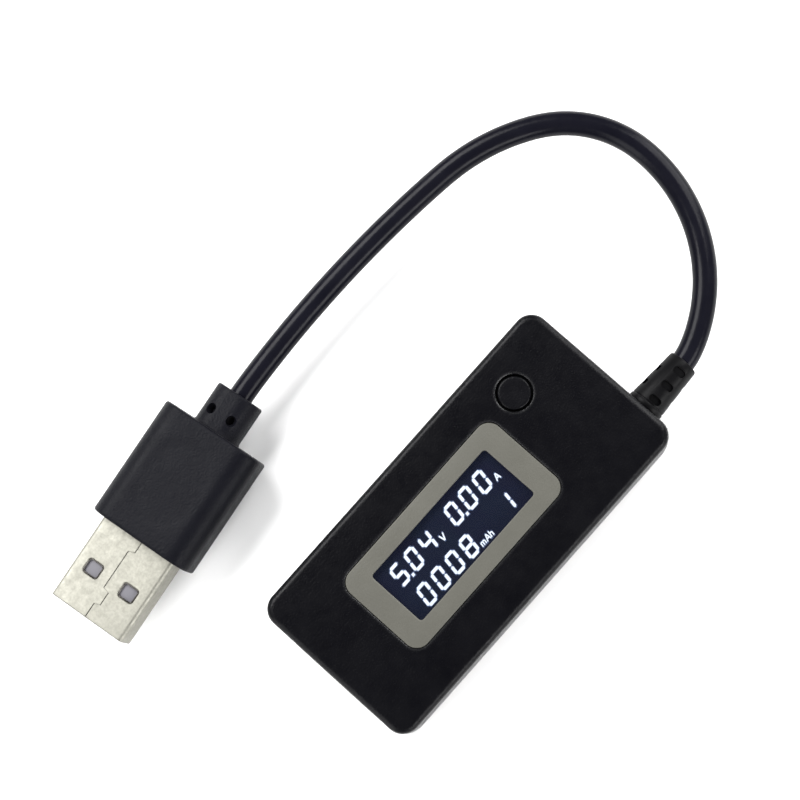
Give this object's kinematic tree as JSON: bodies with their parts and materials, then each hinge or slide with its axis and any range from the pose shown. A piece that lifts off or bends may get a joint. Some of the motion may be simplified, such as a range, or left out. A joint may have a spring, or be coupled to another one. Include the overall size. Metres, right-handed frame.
{
  "type": "usb power meter",
  "caption": "Cable-type USB power meter: slim black case with a backlit display, one button, a USB-A socket and a short captive cable ending in a USB-A plug.",
  "frame": {"origin": "centre of the case's underside", "axes": "+X towards the cable end of the case, +Y across it towards the plug's side, +Z out of the display"},
  "size_m": [0.1001, 0.0552, 0.0121],
  "materials": {
    "case": "fine matte grain",
    "bezel": "smooth satin",
    "window": "clear, polished",
    "polariser": "dark film",
    "lcd_glass": "clear",
    "white_plastic": "satin",
    "tinned_metal": "satin",
    "board": "solder mask",
    "chip_black": "moulded",
    "ceramic_grey": "fired",
    "capacitor_tan": "fired",
    "button": "fine matte grain",
    "plug_metal": "bright drawn sheet",
    "gold": "plated",
    "cable_rubber": "smooth satin",
    "red_core": "satin",
    "white_core": "satin",
    "green_core": "satin",
    "black_core": "satin",
    "core_bundle": "satin",
    "grip": "matte moulded",
    "tongue_plastic": "satin"
  },
  "bodies": {
    "meter": {"top_cover": "case", "bottom_cover": "case", "display_bezel": "bezel", "display_window": "window", "lcd_front_polariser": "polariser", "lcd_front_glass": "lcd_glass", "lcd_rear_glass": "lcd_glass", "lcd_rear_polariser": "polariser", "backlight_guide": "white_plastic", "backlight_led": "white_plastic", "display_holder": "white_plastic", "lcd_pins": "tinned_metal", "circuit_board": "board", "microcontroller": "chip_black", "memory_chip": "chip_black", "voltage_regulator": "chip_black", "current_shunt": "ceramic_grey", "chip_capacitors": "capacitor_tan", "chip_resistors": "chip_black", "switch_base": "chip_black", "switch_cover": "tinned_metal", "switch_dome": "tinned_metal", "usb_socket_shell": "plug_metal", "usb_socket_insulator": "white_plastic", "usb_socket_contacts": "gold", "strain_relief": "cable_rubber", "meter_jacket": "cable_rubber", "red_wire": "red_core", "white_wire": "white_core", "green_wire": "green_core", "black_wire": "black_core"},
    "button": {"switch_plunger": "chip_black", "button_cap": "button"},
    "cable_bend": {"bend_jacket": "cable_rubber", "bend_cores": "core_bundle"},
    "cable_run": {"run_jacket": "cable_rubber", "run_cores": "core_bundle"},
    "plug": {"plug_jacket": "cable_rubber", "plug_cores": "core_bundle", "plug_grip": "grip", "plug_inner_mould": "white_plastic", "plug_shell": "plug_metal", "plug_insulator": "tongue_plastic", "plug_contacts": "gold"}
  },
  "joints": [
    {"name": "button_press", "type": "slide", "parent": "meter", "child": "button", "axis": [0, 0, -1], "range_m": [0, 0.0003], "stiffness_N_per_m": 250, "deforming": ["switch_dome"]},
    {"name": "cable_at_case", "type": "hinge", "parent": "meter", "child": "cable_bend", "pos_m": [0.036, -0.0071, 0.0052], "axis": [0, 0, 1], "range_deg": [-30, 3], "stiffness_Nm_per_rad": 0.002},
    {"name": "cable_middle", "type": "hinge", "parent": "cable_bend", "child": "cable_run", "pos_m": [0.0468, 0.0294, 0.0052], "axis": [0, 0, 1], "range_deg": [-40, 3], "stiffness_Nm_per_rad": 0.002},
    {"name": "cable_at_plug", "type": "hinge", "parent": "cable_run", "child": "plug", "pos_m": [-0.0066, 0.0351, 0.0052], "axis": [0, 0, 1], "range_deg": [-25, 4], "stiffness_Nm_per_rad": 0.001}
  ]
}
